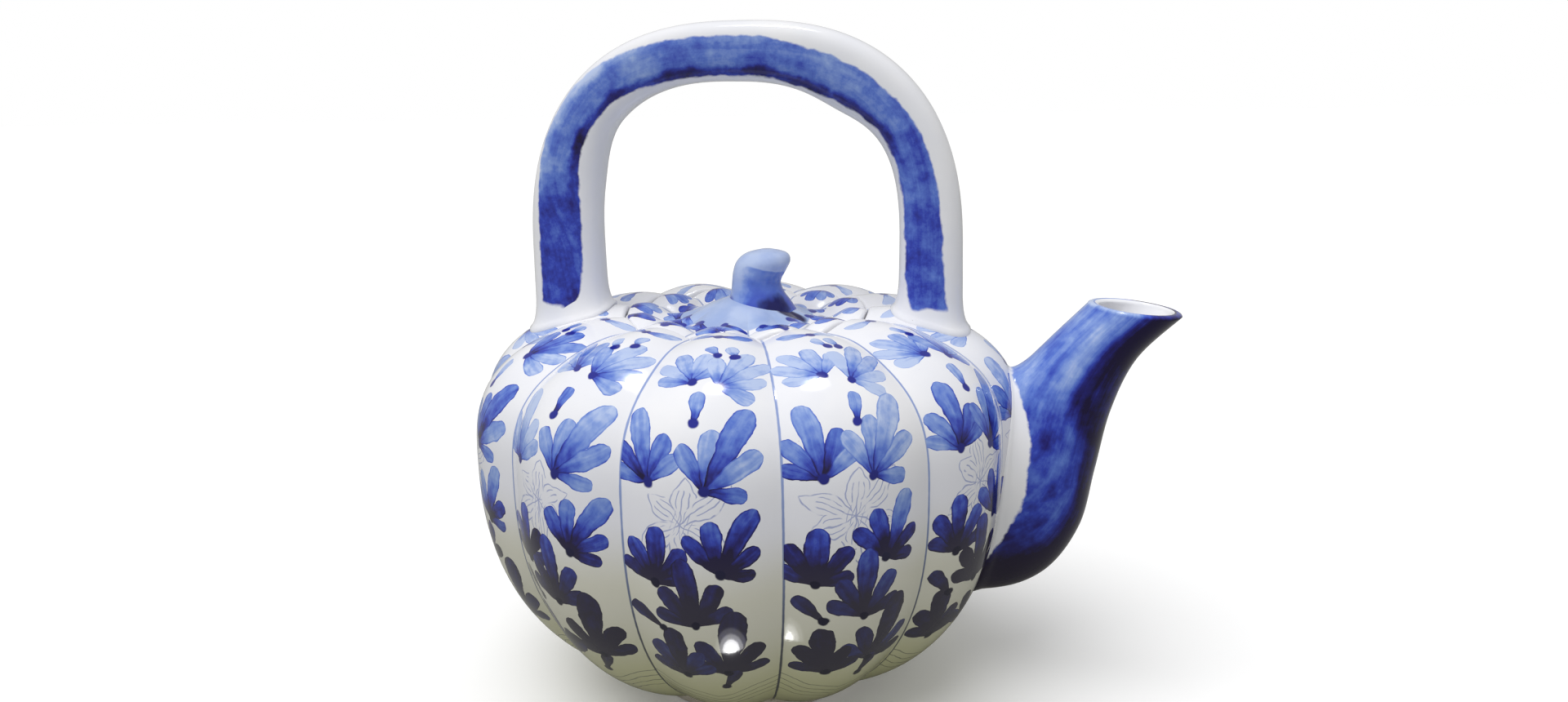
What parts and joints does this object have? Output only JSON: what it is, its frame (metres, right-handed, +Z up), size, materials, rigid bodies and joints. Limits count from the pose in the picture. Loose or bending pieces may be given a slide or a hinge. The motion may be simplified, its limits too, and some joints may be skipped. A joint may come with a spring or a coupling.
{
  "type": "teapot",
  "caption": "Pumpkin-shaped porcelain teapot in painted cobalt blue and white, with an overhead handle, a swan-neck spout and a lift-off lid.",
  "frame": {"origin": "centre of the foot ring's resting plane, under the pot's own axis", "axes": "+Z up along the pot's axis, +X from the axis towards the spout, +Y to the side so that the handle stands in the plane y = 0"},
  "size_m": [0.191, 0.15, 0.1826],
  "materials": {
    "painted_glaze": "gloss clear glaze over white porcelain with cobalt brush painting",
    "white_glaze": "gloss clear glaze over white porcelain",
    "cobalt_glaze": "gloss glaze over a streaked cobalt wash, white inside",
    "banded_glaze": "gloss glaze over white porcelain with a cobalt band on each face",
    "pale_cobalt_glaze": "gloss glaze over a thin cobalt wash",
    "bare_foot": "unglazed, fine grained"
  },
  "bodies": {
    "pot": {"body_shell": "painted_glaze", "foot_ring": "bare_foot", "lid_gallery": "white_glaze", "spout": "cobalt_glaze", "handle_arch": "banded_glaze"},
    "lid": {"lid_cap": "painted_glaze", "lid_flange": "white_glaze", "lid_stem": "pale_cobalt_glaze"}
  },
  "joints": [
    {"name": "lid_lift", "type": "slide", "parent": "pot", "child": "lid", "axis": [0, 0, 1], "range_m": [0, 0.04]}
  ]
}
